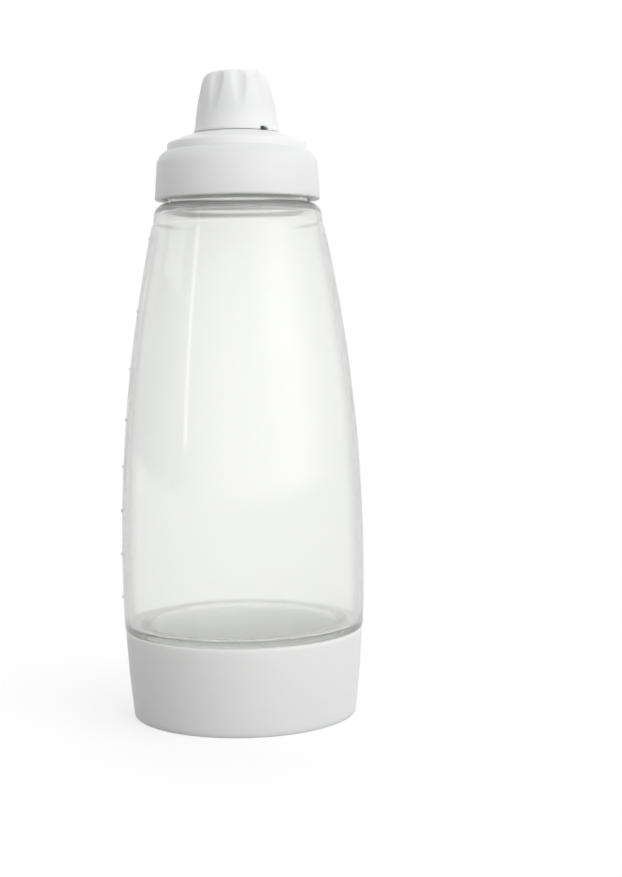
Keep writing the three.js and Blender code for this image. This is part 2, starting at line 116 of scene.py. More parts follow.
def eased(start, corner, end, steps):
    # Points of a soft turn from start to end that heads for the corner between them
    points = []
    for step in range(1, steps + 1):
        share = step / steps
        pulls = ((1 - share) ** 2, 2 * share * (1 - share), share**2)
        pulled = list(zip(pulls, (start, corner, end)))
        points.append(tuple(sum(pull * place[axis] for pull, place in pulled) for axis in (0, 1)))
    return points


def drawOutline(name, corners, closed=True):
    # One vertex is extruded from corner to corner; a corner is (radius, height, rounding), mm
    letGo()
    bpy.ops.mesh.primitive_plane_add(size=mm, location=(corners[0][0] * mm, 0, corners[0][1] * mm))
    obj = bpy.context.object
    obj.name = obj.data.name = name
    bpy.ops.object.transform_apply(location=True)
    setMode("EDIT")
    bpy.ops.mesh.select_mode(type="VERT")
    selectAll()
    bpy.ops.mesh.merge(type="CENTER")
    for last, here in zip(corners, corners[1:]):
        move = ((here[0] - last[0]) * mm, 0, (here[1] - last[1]) * mm)
        bpy.ops.mesh.extrude_region_move(TRANSFORM_OT_translate={"value": move})
    if closed:
        pickPlaces(obj, corners[0][:2], corners[-1][:2])
        bpy.ops.mesh.edge_face_add()
    roundCorners(obj, corners, closed)
    return obj


def roundCorners(obj, corners, closed):
    count = len(corners)
    most = turning["edgeShare"]
    for index, corner in enumerate(corners):
        if len(corner) < 3 or (not closed and index in (0, count - 1)):
            continue
        here = Vector(corner[:2])
        toLast = Vector(corners[index - 1][:2]) - here
        toNext = Vector(corners[(index + 1) % count][:2]) - here
        half = toLast.angle(toNext) / 2
        reach = min(corner[2] / math.tan(half), toLast.length * most, toNext.length * most)
        large = corner[2] >= turning["largeRound"]
        pickPlaces(obj, corner[:2])
        bpy.ops.mesh.bevel(
            offset=reach * mm,
            segments=turning["largeSteps" if large else "smallSteps"],
            affect="VERTICES",
            clamp_overlap=False,
        )


def spinRound(obj, sides):
    selectAll()
    bpy.ops.mesh.spin(steps=sides, angle=fullTurn, center=(0, 0, 0), axis=(0, 0, 1))
    selectAll()
    bpy.ops.mesh.remove_doubles(threshold=turning["weld"])
    bpy.ops.mesh.normals_make_consistent(inside=False)
    setMode("OBJECT")


def turnPiece(name, corners, sides, closed=True):
    obj = drawOutline(name, corners, closed)
    spinRound(obj, sides)
    return obj


ridging = {
    "root": 0.8,  # mm into the wall
    "taperShare": 0.16,
    "crestRound": 0.18,
    "stepsPerTurn": 160,
    "angleSlack": 1e-6,  # so that a ridge's first point isn't taken for its last
}


def windRidge(thread, wallRadius, side, height, startTurn, turns):
    # A ridge of trapezoid section wound about the axis, with ends that sink into the wall
    crest = wallRadius + side * thread["ridgeHeight"]
    root = wallRadius - side * ridging["root"]
    foot, top = thread["footWidth"] / 2, thread["crestWidth"] / 2
    obj = drawOutline(
        "ridge",
        [
            (root, height - foot),
            (crest, height - top, ridging["crestRound"]),
            (crest, height + top, ridging["crestRound"]),
            (root, height + foot),
        ],
    )
    setMode("OBJECT")
    wind = obj.modifiers.new("wind", "SCREW")
    wind.axis = "Z"
    wind.angle = fullTurn * turns
    wind.screw_offset = thread["lead"] * turns * mm
    wind.steps = wind.render_steps = round(turns * ridging["stepsPerTurn"])
    hold(obj)
    bpy.ops.object.modifier_apply(modifier=wind.name)
    setMode("EDIT")
    selectAll()
    bpy.ops.mesh.fill_holes(sides=0)
    if thread["lead"]:
        sinkEnds(obj, wallRadius, side, turns)
    selectAll()
    bpy.ops.mesh.normals_make_consistent(inside=False)
    setMode("OBJECT")
    obj.rotation_euler.z = fullTurn * startTurn
    hold(obj)
    bpy.ops.object.transform_apply(rotation=True)
    return obj


def sinkEnds(obj, wallRadius, side, turns):
    # What stands proud of the wall runs out into it at both ends
    hidden = wallRadius - side * ridging["root"] / 2
    mesh = bmesh.from_edit_mesh(obj.data)
    for vertex in mesh.verts:
        radius = vertex.co.xy.length
        if side * (radius - wallRadius * mm) <= 0:
            continue
        angle = math.atan2(vertex.co.y, vertex.co.x) + ridging["angleSlack"]
        share = (angle % fullTurn) / (fullTurn * turns)
        rise = max(0, min(1, share / ridging["taperShare"], (1 - share) / ridging["taperShare"]))
        wanted = hidden * mm + (radius - hidden * mm) * rise
        vertex.co.xy *= wanted / radius
    bmesh.update_edit_mesh(obj.data)


def joinShapes(shapes):
    hold(shapes[0])
    for shape in shapes[1:]:
        shape.select_set(True)
    bpy.ops.object.join()
    return shapes[0]


def cutOrWeld(obj, tool, operation):
    hold(obj)
    change = obj.modifiers.new("change", "BOOLEAN")
    change.operation = operation
    change.solver = "EXACT"
    change.object = tool
    bpy.ops.object.modifier_apply(modifier=change.name)
    bpy.data.objects.remove(tool)


def threadRidges(thread, wallRadius):
    # The ridges on the inner piece of a screw joint
    starts, turns = thread["starts"], thread["turns"]
    return [
        windRidge(thread, wallRadius, 1, thread["height"], start / starts, turns)
        for start in range(starts)
    ]


def matingRidges(thread, wallRadius, side):
    # The ridges on the outer piece run midway between them, above (side 1) or below (side -1)
    bore = wallRadius + thread["ridgeHeight"] + threadGap
    starts, turns = thread["starts"], thread["matingTurns"]
    lag = (thread["turns"] - turns) / 2
    low = thread["height"] + side * thread["lead"] / starts / 2 + thread["lead"] * lag
    return [
        windRidge(thread, bore, -1, low, start / starts + lag, turns) for start in range(starts)
    ]


def finishPiece(obj, material, node, body):
    hold(obj)
    bpy.ops.object.shade_smooth_by_angle(angle=math.radians(turning["smoothAngle"]))
    obj.data.materials.clear()
    obj.data.materials.append(material)
    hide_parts(node)
    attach(obj, body)
    letGo()
    print("made", obj.name, "with", len(obj.data.polygons), "faces")


# Finishes
def newMaterial(name):
    material = bpy.data.materials.new(name)
    material.use_nodes = True
    material.node_tree.nodes.clear()
    return material, material.node_tree


def addNode(tree, kind, place, values=None, **settings):
    # The settings come first, as they decide which sockets the values go to
    node = tree.nodes.new("ShaderNode" + kind)
    node.location = place
    for key, value in settings.items():
        setattr(node, key, value)
    for socket, value in (values or {}).items():
        node.inputs[socket].default_value = value
    return node


def addMath(tree, place, operation, values=None):
    return addNode(tree, "Math", place, values, operation=operation)


def addProduct(tree, place, first, firstOutput, second, secondOutput):
    product = addMath(tree, place, "MULTIPLY")
    connect(first, firstOutput, product, 0)
    connect(second, secondOutput, product, 1)
    return product


def addVector(tree, place, operation, values=None):
    return addNode(tree, "VectorMath", place, values, operation=operation)


def addMix(tree, place, values=None):
    return addNode(tree, "Mix", place, values, data_type="RGBA")


def addRange(tree, place, side, ends, **settings):
    # Side is From for the values that come in and To for those that go out
    values = {side + " Min": ends[0], side + " Max": ends[1]}
    return addNode(tree, "MapRange", place, values, **settings)


def addBump(tree, place, finish):
    values = {"Strength": finish["bumpStrength"], "Distance": finish["bumpDepth"]}
    return addNode(tree, "Bump", place, values)


def connect(source, output, target, socket):
    source.id_data.links.new(source.outputs[output], target.inputs[socket])


def newGroup(name, inputs, outputs):
    group = bpy.data.node_groups.new(name, "ShaderNodeTree")
    for label, value in inputs.items():
        socket = group.interface.new_socket(label, in_out="INPUT", socket_type="NodeSocketFloat")
        socket.default_value = value
    for label in outputs:
        group.interface.new_socket(label, in_out="OUTPUT", socket_type="NodeSocketFloat")
    source, result = (group.nodes.new("NodeGroup" + end) for end in ("Input", "Output"))
    source.location.x, result.location.x = -900, 700
    return group, source, result


def makeMouldedSkin():
    # Slow clouding of the moulded plastic, and its fine spark-eroded grain
    group, source, result = newGroup(
        "mouldedSkin", {"cloudScale": 40, "grainScale": 1400}, ("cloud", "grain")
    )
    coords = addNode(group, "TexCoord", (-900, 300))
    cloud = addNode(group, "TexNoise", (-500, 200), {"Detail": 3, "Roughness": 0.55})
    grain = addNode(group, "TexNoise", (-500, -100), {"Detail": 2})
    connect(coords, "Object", cloud, "Vector")
    connect(coords, "Object", grain, "Vector")
    connect(source, "cloudScale", cloud, "Scale")
    connect(source, "grainScale", grain, "Scale")
    connect(cloud, "Fac", result, "cloud")
    connect(grain, "Fac", result, "grain")
    return group


def makeRingScuffs():
    # Fine marks round the axis, where a piece is gripped and screwed on
    group, source, result = newGroup("ringScuffs", {"scale": 60, "amount": 0.5}, ("scuff",))
    coords = addNode(group, "TexCoord", (-900, 300))
    stretch = addNode(group, "Mapping", (-700, 300), {"Scale": (1, 1, 24)})
    lines = addNode(group, "TexNoise", (-500, 300), {"Detail": 4, "Roughness": 0.7})
    patches = addNode(group, "TexNoise", (-500, 0), {"Scale": 55})
    narrow = addRange(group, (-250, 300), "From", (0.62, 0.78))
    spread = addRange(group, (-250, 0), "From", (0.48, 0.66))
    both = addProduct(group, (0, 200), narrow, "Result", spread, "Result")
    scaled = addProduct(group, (250, 200), both, "Value", source, "amount")
    connect(coords, "Object", stretch, "Vector")
    connect(stretch, "Vector", lines, "Vector")
    connect(source, "scale", lines, "Scale")
    connect(coords, "Object", patches, "Vector")
    connect(lines, "Fac", narrow, "Value")
    connect(patches, "Fac", spread, "Value")
    connect(scaled, "Value", result, "scuff")
    return group


def makeEdgeWear():
    # Corners that are rubbed a little lighter
    group, source, result = newGroup("edgeWear", {"amount": 0.5, "breakScale": 300}, ("wear",))
    shape = addNode(group, "NewGeometry", (-900, 300))
    edge = addRange(group, (-500, 300), "From", (0.52, 0.6))
    coords = addNode(group, "TexCoord", (-900, -100))
    broken = addNode(group, "TexNoise", (-500, 0))
    both = addProduct(group, (-100, 200), edge, "Result", broken, "Fac")
    scaled = addProduct(group, (200, 200), both, "Value", source, "amount")
    connect(shape, "Pointiness", edge, "Value")
    connect(coords, "Object", broken, "Vector")
    connect(source, "breakScale", broken, "Scale")
    connect(scaled, "Value", result, "wear")
    return group


mouldedSkin = makeMouldedSkin()
ringScuffs = makeRingScuffs()
edgeWear = makeEdgeWear()


def addSkin(tree, cloudScale, grainScale):
    values = {"cloudScale": cloudScale, "grainScale": grainScale}
    return addNode(tree, "Group", (-1100, 300), values, node_tree=mouldedSkin)


def addScuffs(tree, amount, scale):
    values = {"amount": amount, "scale": scale}
    return addNode(tree, "Group", (-1100, 50), values, node_tree=ringScuffs)


glowTint = (1, 0.95, 0.9)  # red light wanders furthest
whiteFinish = {
    "lightTone": (0.86, 0.866, 0.858, 1),
    "deepTone": (0.83, 0.837, 0.828, 1),
    "wornTone": (0.9, 0.9, 0.895, 1),
    "ior": 1.49,
    "wear": 0.6,
    "scuffScale": 60,
    "scuffDulling": 0.22,
    "bumpStrength": 0.35,
    "bumpDepth": 0.00003,  # m
    "glow": 0.6,  # share of the light that wanders through the plastic
    "glowReach": 0.0035,  # m
}


def makeWhitePlastic(name, cloudScale, grainScale, scuffed, roughness, notchShaded=False):
    finish = whiteFinish
    material, tree = newMaterial(name)
    skin = addSkin(tree, cloudScale, grainScale)
    scuffs = addScuffs(tree, scuffed, finish["scuffScale"])
    worn = addNode(tree, "Group", (-1100, -200), {"amount": finish["wear"]}, node_tree=edgeWear)
    tone = addMix(tree, (-800, 400), {"A": finish["deepTone"], "B": finish["lightTone"]})
    rubbed = addMix(tree, (-550, 400), {"B": finish["wornTone"]})
    gloss = addRange(tree, (-800, 150), "To", roughness)
    dulled = addMath(tree, (-550, 150), "MULTIPLY_ADD", {1: finish["scuffDulling"]})
    height = addMath(tree, (-800, -200), "SUBTRACT")
    bump = addBump(tree, (-400, -200), finish)
    plastic = addNode(
        tree,
        "BsdfPrincipled",
        (-150, 300),
        {
            "IOR": finish["ior"],
            "Subsurface Weight": finish["glow"],
            "Subsurface Radius": glowTint,
            "Subsurface Scale": finish["glowReach"],
        },
    )
    output = addNode(tree, "OutputMaterial", (200, 300))
    connect(skin, "cloud", tone, "Factor")
    connect(tone, "Result", rubbed, "A")
    connect(worn, "wear", rubbed, "Factor")
    connect(rubbed, "Result", plastic, "Base Color")
    connect(skin, "cloud", gloss, "Value")
    connect(scuffs, "scuff", dulled, 0)
    connect(gloss, "Result", dulled, 2)
    connect(dulled, "Value", plastic, "Roughness")
    connect(skin, "grain", height, 0)
    connect(scuffs, "scuff", height, 1)
    connect(height, "Value", bump, "Height")
    connect(bump, "Normal", plastic, "Normal")
    connect(plastic, "BSDF", output, "Surface")
    # A dark spot of painted shade in the cap's notch
    if notchShaded:
        addNotchShade(tree, plastic)
    return material


clearFinish = {
    "tint": (0.942, 0.947, 0.939, 1),
    "ior": 1.42,
    "roughness": (0.06, 0.11),
    "scuffs": 0.35,
    "scuffScale": 80,
    "scuffDulling": 0.12,
    "cloudScale": 26,
    "grainScale": 900,
    "bumpStrength": 0.5,
    "bumpDepth": 0.00012,  # m
    "absorbTone": (0.9, 0.905, 0.898, 1),
    "absorbDensity": 110,
    "clarity": 0.86,  # the rest is the haze of the blown wall
    "lampTone": (1, 1, 1, 1),
    "paintedEdgeShade": (0.3, 0.305, 0.3, 1),  # painted shade: a darker tint where the side wall is seen along its length
    "paintedShadeFacing": (0.56, 0.98),
    "paintedShadeHeights": (180, 187),  # mm, the painted edge shade fades out between these heights and leaves the thin-walled shoulder clear
    "markTone": (0.8, 0.81, 0.795, 1),
    "markRoughness": 0.35,
}


def makeClearPlastic():
    finish = clearFinish
    material, tree = newMaterial("clearPlastic")
    skin = addSkin(tree, finish["cloudScale"], finish["grainScale"])
    scuffs = addScuffs(tree, finish["scuffs"], finish["scuffScale"])
    gloss = addRange(tree, (-800, 150), "To", finish["roughness"])
    dulled = addMath(tree, (-550, 150), "MULTIPLY_ADD", {1: finish["scuffDulling"]})
    bump = addBump(tree, (-400, -200), finish)
    plastic = addNode(
        tree,
        "BsdfPrincipled",
        (-150, 300),
        {"IOR": finish["ior"], "Transmission Weight": finish["clarity"]},
    )
    frost = addNode(tree, "Attribute", (-800, 500), attribute_name="frost")
    # Painted shade: the clear tint darkens towards the outline of the wall, where it is seen
    # edge-on, below the shoulder
    grazing = addNode(tree, "LayerWeight", (-1500, 900))
    grazingShade = addRange(tree, (-1300, 900), "From", finish["paintedShadeFacing"])
    coords = addNode(tree, "TexCoord", (-1700, 650))
    place = addNode(tree, "SeparateXYZ", (-1500, 650))
    low, high = finish["paintedShadeHeights"]
    below = addRange(tree, (-1300, 650), "From", (high * mm, low * mm))
    edge = addProduct(tree, (-1050, 800), grazingShade, "Result", below, "Result")
    shadedTint = addMix(tree, (-800, 750), {"A": finish["tint"], "B": finish["paintedEdgeShade"]})
    tone = addMix(tree, (-550, 500), {"B": finish["markTone"]})
    frosted = addMath(tree, (-350, 150), "MULTIPLY_ADD", {1: finish["markRoughness"]})
    absorb = addNode(
        tree,
        "VolumeAbsorption",
        (-150, -250),
        {"Color": finish["absorbTone"], "Density": finish["absorbDensity"]},
    )
    path = addNode(tree, "LightPath", (-150, 650))
    passed = addNode(tree, "BsdfTransparent", (-150, -50), {"Color": finish["lampTone"]})
    choice = addNode(tree, "MixShader", (150, 300))
    output = addNode(tree, "OutputMaterial", (400, 300))
    connect(skin, "cloud", gloss, "Value")
    connect(scuffs, "scuff", dulled, 0)
    connect(gloss, "Result", dulled, 2)
    connect(frost, "Fac", frosted, 0)
    connect(dulled, "Value", frosted, 2)
    connect(frosted, "Value", plastic, "Roughness")
    connect(grazing, "Facing", grazingShade, "Value")
    connect(coords, "Object", place, "Vector")
    connect(place, "Z", below, "Value")
    connect(edge, "Value", shadedTint, "Factor")
    connect(shadedTint, "Result", tone, "A")
    connect(frost, "Fac", tone, "Factor")
    connect(tone, "Result", plastic, "Base Color")
    connect(skin, "cloud", bump, "Height")
    connect(bump, "Normal", plastic, "Normal")
    connect(path, "Is Shadow Ray", choice, "Fac")
    connect(plastic, "BSDF", choice, 1)
    connect(passed, "BSDF", choice, 2)
    connect(choice, "Shader", output, "Surface")
    connect(absorb, "Volume", output, "Volume")
    return material


# Silicone and foam: matt, a little see-through, with a fine pitted surface
sealFinish = {
    "shade": 0.93,
    "cloudScale": 90,
    "grainScale": 2200,
    "roughness": (0.45, 0.68),
    "ior": 1.41,
    "bumpStrength": 0.4,
    "bumpDepth": 0.00005,  # m
    "glowReach": 0.002,  # m
}


def makeSoftSeal(name, tone, softness):
    finish = sealFinish
    material, tree = newMaterial(name)
    skin = addSkin(tree, finish["cloudScale"], finish["grainScale"])
    dark = tuple(part * finish["shade"] for part in tone)
    shade = addMix(tree, (-800, 400), {"A": dark + (1,), "B": tone + (1,)})
    gloss = addRange(tree, (-800, 100), "To", finish["roughness"])
    bump = addBump(tree, (-500, -150), finish)
    rubber = addNode(
        tree,
        "BsdfPrincipled",
        (-150, 300),
        {
            "IOR": finish["ior"],
            "Subsurface Weight": softness,
            "Subsurface Radius": glowTint,
            "Subsurface Scale": finish["glowReach"],
        },
    )
    output = addNode(tree, "OutputMaterial", (200, 300))
    connect(skin, "cloud", shade, "Factor")
    connect(shade, "Result", rubber, "Base Color")
    connect(skin, "cloud", gloss, "Value")
    connect(gloss, "Result", rubber, "Roughness")
    connect(skin, "grain", bump, "Height")
    connect(bump, "Normal", rubber, "Normal")
    connect(rubber, "BSDF", output, "Surface")
    return material


basePlastic = makeWhitePlastic(
    "basePlastic", cloudScale=34, grainScale=1500, scuffed=0.8, roughness=(0.36, 0.5)
)
collarPlastic = makeWhitePlastic(
    "collarPlastic", cloudScale=45, grainScale=1500, scuffed=0.6, roughness=(0.34, 0.46)
)
nozzlePlastic = makeWhitePlastic(
    "nozzlePlastic", cloudScale=60, grainScale=1700, scuffed=0.3, roughness=(0.3, 0.42)
)
retainerPlastic = makeWhitePlastic(
    "retainerPlastic", cloudScale=80, grainScale=1700, scuffed=0.2, roughness=(0.38, 0.5)
)
clearPlastic = makeClearPlastic()
gasketSilicone = makeSoftSeal("gasketSilicone", (0.74, 0.755, 0.75), softness=0.25)
valveSilicone = makeSoftSeal("valveSilicone", (0.78, 0.79, 0.785), softness=0.35)
linerFoam = makeSoftSeal("linerFoam", (0.84, 0.84, 0.82), softness=0.1)
print("finishes made")


# Sizes that neighbouring pieces share, mm
heel = {
    "radius": 45.5,
    "belly": 46,
    "bellyHeight": 57,
    "ledge": 33,
    "ledgeTop": 35.2,
    "ledgeRound": 0.8,
}
shoulderLine = {"radius": 32.4, "height": 184.8}
neck = {"radius": 26.5, "bore": 24.5, "shoulder": 192.4, "foot": 192.9, "rim": 206.4}
skirt = {"radius": 39.3, "inner": 37, "spigot": 38, "rim": 5.8, "foot": 4.4}
bodyWall = 2
shoulder = {
    "lineRound": 0.12,
    "step": (31.95, 185.25),
    "stepRound": 0.25,
    "foot": (31.591, 189.2),
    "top": (27.9, 192.9),
    "bulge": 0.85,
    "steps": 12,
    "inner": 29.3,
    "innerRound": 2.2,
}
twoStart = {"starts": 2, "turns": 0.75, "matingTurns": 0.45}
baseThread = {
    **twoStart,
    "lead": 8,
    "ridgeHeight": 1.3,
    "footWidth": 1.8,
    "crestWidth": 0.8,
    "height": 12.8,
}
neckThread = {
    **twoStart,
    "lead": 6,
    "ridgeHeight": 1.1,
    "footWidth": 1.3,
    "crestWidth": 0.6,
    "height": 197.6,
}
capThread = {**neckThread, "ridgeHeight": 1, "turns": 0.7, "matingTurns": 0.4, "height": 222.9}


# Screw base
screwBase = {
    "foot": (42.4, 0, 0.5),
    "rim": (45.1, 32.7, 0.6),
    "bulge": 0.3,
    "wallSteps": 16,
    "floor": 3.6,
    "recess": 1,
    "standInner": 37.2,
    "recessRadius": 36,
    "bore": 41.1,
    "mouthRadius": 42,
    "mouthFoot": 30.7,
    "blendTop": 9.6,
    "floorRadius": 40.5,
    "mouthRound": 0.25,
    "blendRound": 3,
    "floorRound": 1.6,
    "gateRadius": 2.2,
    "gateSlope": 0.4,
    "gateRise": 0.35,
}


def makeScrewBase():
    size = SimpleNamespace(**screwBase)
    obj = turnPiece(
        "screw_base",
        [
            (0, size.recess + size.gateRise),
            (size.gateRadius, size.recess + size.gateRise, sharp),
            (size.gateRadius + size.gateSlope, size.recess, sharp),
            (size.recessRadius, size.recess, soft),
            (size.standInner, 0, mild),
            size.foot,
            *swollen(size.foot, size.rim, size.bulge, size.wallSteps),
            size.rim,
            (size.mouthRadius, size.rim[1], size.mouthRound),
            (size.bore, size.mouthFoot, mild),
            (size.bore, size.blendTop, size.blendRound),
            (size.floorRadius, size.floor, size.floorRound),
            (0, size.floor),
        ],
        wideSides,
        closed=False,
    )
    cutOrWeld(obj, joinShapes(matingRidges(baseThread, skirt["radius"], 1)), "UNION")
    finishPiece(obj, basePlastic, "base_cup", "base")


makeScrewBase()


# Bottle
bottle = {
    "bodySteps": 44,
    "heelSteps": 14,
    "risePower": 2.05,
    "heelPower": 2,
    "innerRound": 1.4,
    "markHeight": 0.9,
    "markStand": 0.4,
    "markStart": 176,  # degrees
    "markSweep": 11,
    "markShare": 0.25,  # of a mark's stand, from where it counts as matt
    "parts": 9,
    "slices": 400,
    "topMark": 180,
}
scaleMark = {
    "lead": 0,
    "ridgeHeight": bottle["markStand"],
    "footWidth": bottle["markHeight"],
    "crestWidth": 0.6,
}


def bodyRadius(height):
    middle = heel["bellyHeight"]
    if height > middle:
        end, radius, power = shoulderLine["height"], shoulderLine["radius"], bottle["risePower"]
    else:
        end, radius, power = heel["ledge"], heel["radius"], bottle["heelPower"]
    share = abs(height - middle) / abs(end - middle)
    return heel["belly"] - (heel["belly"] - radius) * share**power


def bodyOutline(low, high, steps, inset):
    heights = [low + (high - low) * step / steps for step in range(1, steps)]
    return [(bodyRadius(height) - inset, height) for height in heights]


def markHeights():
    # Marks stand where the chamber holds equal parts of what it holds up to the top mark
    floor = screwBase["floor"]
    slab = (bottle["topMark"] - floor) / bottle["slices"]
    volumes = [0]
    for index in range(bottle["slices"]):
        height = floor + slab * (index + 0.5)
        radius = skirt["inner"] if height < heel["ledgeTop"] else bodyRadius(height) - bodyWall
        volumes.append(volumes[-1] + slab * math.pi * radius**2)
    heights = []
    for part in range(1, bottle["parts"] + 1):
        slack = slab**3  # so that rounding doesn't skip a slab
        wanted = volumes[-1] * part / bottle["parts"] - slack
        index = next(i for i, volume in enumerate(volumes) if volume >= wanted)
        heights.append(floor + slab * index)
    return [height for height in heights if height > heel["ledgeTop"] + bottle["markHeight"]]


def makeBottle():
    belly, ledge = heel["bellyHeight"], heel["ledge"]
    obj = turnPiece(
        "clear_bottle",
        [
            (skirt["inner"], skirt["foot"], fine),
            (skirt["spigot"], skirt["foot"], fine),
            (skirt["spigot"], skirt["rim"], crisp),
            (skirt["radius"], skirt["rim"], mild),
            (skirt["radius"], ledge, heel["ledgeRound"]),
            (heel["radius"], ledge, heel["ledgeRound"]),
            *bodyOutline(ledge, belly, bottle["heelSteps"], 0)[1:],
            (heel["belly"], belly),
            *bodyOutline(belly, shoulderLine["height"], bottle["bodySteps"], 0),
            (shoulderLine["radius"], shoulderLine["height"], shoulder["lineRound"]),
            (*shoulder["step"], shoulder["stepRound"]),
            shoulder["foot"],
            *swollen(shoulder["foot"], shoulder["top"], shoulder["bulge"], shoulder["steps"]),
            shoulder["top"],
            (neck["radius"], neck["foot"], soft),
            (neck["radius"], neck["rim"], soft),
            (neck["bore"], neck["rim"], mild),
            (neck["bore"], neck["shoulder"] - bodyWall, bottle["innerRound"]),
            (shoulder["inner"], neck["shoulder"] - bodyWall, shoulder["innerRound"]),
            (shoulderLine["radius"] - bodyWall, shoulderLine["height"]),
            *bodyOutline(shoulderLine["height"], belly, bottle["bodySteps"], bodyWall),
            (heel["belly"] - bodyWall, belly),
            *bodyOutline(belly, ledge, bottle["heelSteps"], bodyWall)[:-3],
            (heel["radius"] - bodyWall, heel["ledgeTop"], bottle["innerRound"]),
            (skirt["inner"], heel["ledgeTop"], bottle["innerRound"]),
        ],
        wideSides,
    )
    ridges = threadRidges(baseThread, skirt["radius"]) + threadRidges(neckThread, neck["radius"])
    start, sweep = bottle["markStart"] / 360, bottle["markSweep"] / 360
    for height in markHeights():
        ridges.append(windRidge(scaleMark, bodyRadius(height), 1, height, start, sweep))
    cutOrWeld(obj, joinShapes(ridges), "UNION")
    frostMarks(obj)
    finishPiece(obj, clearPlastic, "bottle", "bottle")


def frostMarks(obj):
    # The volume marks are matt: what stands proud of the body is noted for the material
    frost = obj.data.attributes.new("frost", "FLOAT", "POINT")
    proud = bottle["markStand"] * bottle["markShare"]
    for vertex, note in zip(obj.data.vertices, frost.data):
        radius, height = vertex.co.xy.length / mm, vertex.co.z / mm
        onBody = heel["ledgeTop"] < height < bottle["topMark"] + bottle["markHeight"]
        note.value = onBody and radius > bodyRadius(height) + proud


makeBottle()


# Screw collar
collar = {
    "foot": 194.4,
    "top": 212.4,
    "bore": 28.1,
    "footRadius": 31.05,
    "shoulderFoot": (30.15, 207.6),
    "shoulderTop": (26.85, 212.4),
    "shoulderBulge": 0.65,
    "steps": 12,
    "lip": 26.35,
    "lipFoot": 210.2,
    "beadMiddle": 207.2,
    "beadWidth": 1.6,
    "beadReach": 0.85,
}


def makeCollar():
    size = SimpleNamespace(**collar)
    obj = turnPiece(
        "screw_collar",
        [
            (size.bore, size.foot, soft),
            (size.footRadius, size.foot, full),
            size.shoulderFoot,
            *swollen(size.shoulderFoot, size.shoulderTop, size.shoulderBulge, size.steps),
            size.shoulderTop,
            (size.lip, size.top, fine),
            (size.lip, size.lipFoot, crisp),
            (size.bore, size.lipFoot, crisp),
            (size.bore, size.beadMiddle + size.beadWidth / 2, crisp),
            (size.bore - size.beadReach, size.beadMiddle, mild),
            (size.bore, size.beadMiddle - size.beadWidth / 2, crisp),
        ],
        wideSides,
    )
    cutOrWeld(obj, joinShapes(matingRidges(neckThread, neck["radius"], -1)), "UNION")
    finishPiece(obj, collarPlastic, "collar", "collar")


makeCollar()


# Nozzle plate
nozzle = {
    "plug": 24.2,
    "plugInner": 22.4,
    "plugFoot": 204,
    "flange": 27.8,
    "flangeFoot": 208.3,
    "flangeTop": 209.9,
    "wall": 26.05,
    "wallInner": 23.95,
    "wallTop": 215.4,
    "wallEdge": 0.8,
    "domeBulge": 0.05,
    "domeSteps": 6,
    "domeThickness": 2.2,
    "seat": 218.9,
    "seatRadius": 16.3,
    "spout": 11.3,
    "spoutBore": 9.2,
    "spoutShoulder": 228.6,
    "spoutRoof": 2.1,
    "tipFootRadius": 8.2,
    "tipFoot": 230.3,
    "tipRadius": 6.6,
    "tipTop": 237.1,
    "tipWall": 2,
    "valveSeat": 216.7,
    "valveBore": 12.1,
    "beadTop": 211.9,
    "beadFoot": 211.1,
    "beadReach": 0.7,
    "bossFoot": 210.5,
    "boss": 13.9,
}


def makeNozzlePlate():
    size = SimpleNamespace(**nozzle)
    wallTop = (size.wall, size.wallTop, size.wallEdge)
    seatEdge = (size.seatRadius, size.seat)
    domeInner = (size.wallInner, size.wallTop - size.domeThickness, size.wallEdge)
    bossTop = (size.boss, size.valveSeat, size.wallEdge)
    obj = turnPiece(
        "nozzle_plate_domed",
        [
            (size.plugInner, size.plugFoot, fine),
            (size.plug, size.plugFoot, soft),
            (size.plug, size.flangeFoot, crisp),
            (size.flange, size.flangeFoot, crisp),
            (size.flange, size.flangeTop, crisp),
            (size.wall, size.flangeTop, crisp),
            wallTop,
            *swollen(wallTop, seatEdge, size.domeBulge, size.domeSteps),
            (*seatEdge, soft),
            (size.spout, size.seat, full),
            (size.spout, size.spoutShoulder, full),
            (size.tipFootRadius, size.tipFoot, soft),
            (size.tipRadius, size.tipTop, full),
            (size.tipRadius - size.tipWall, size.tipTop, fine),
            (size.tipFootRadius - size.tipWall, size.tipFoot, mild),
            (size.spoutBore, size.spoutShoulder - size.spoutRoof, mild),
            (size.spoutBore, size.valveSeat, crisp),
            (size.valveBore, size.valveSeat, crisp),
            (size.valveBore, size.beadTop, sharp),
            (size.valveBore - size.beadReach, size.beadTop, crisp),
            (size.valveBore - size.beadReach, size.beadFoot, crisp),
            (size.valveBore, size.bossFoot, crisp),
            (size.boss, size.bossFoot, fine),
            bossTop,
            *swollen(bossTop, domeInner, -size.domeBulge, size.domeSteps),
            domeInner,
            (size.wallInner, size.flangeTop, mild),
            (size.plugInner, size.flangeTop, mild),
        ],
        slimSides,
    )
    cutOrWeld(obj, joinShapes(threadRidges(capThread, size.spout)), "UNION")
    finishPiece(obj, nozzlePlastic, "nozzle_plate", "head")


makeNozzlePlate()


# Valve, its retainer and the seals
flowValve = {
    "radius": 11.8,
    "foot": 214.9,
    "thickness": 1.5,
    "edge": 8.9,
    "rise": 2.6,
    "membrane": 1,
    "bulge": 0.5,
    "slitLength": 11,
    "slitWidth": 0.4,
    "slitDepth": 8,
    "slitRise": 1,
    "steps": 12,
}


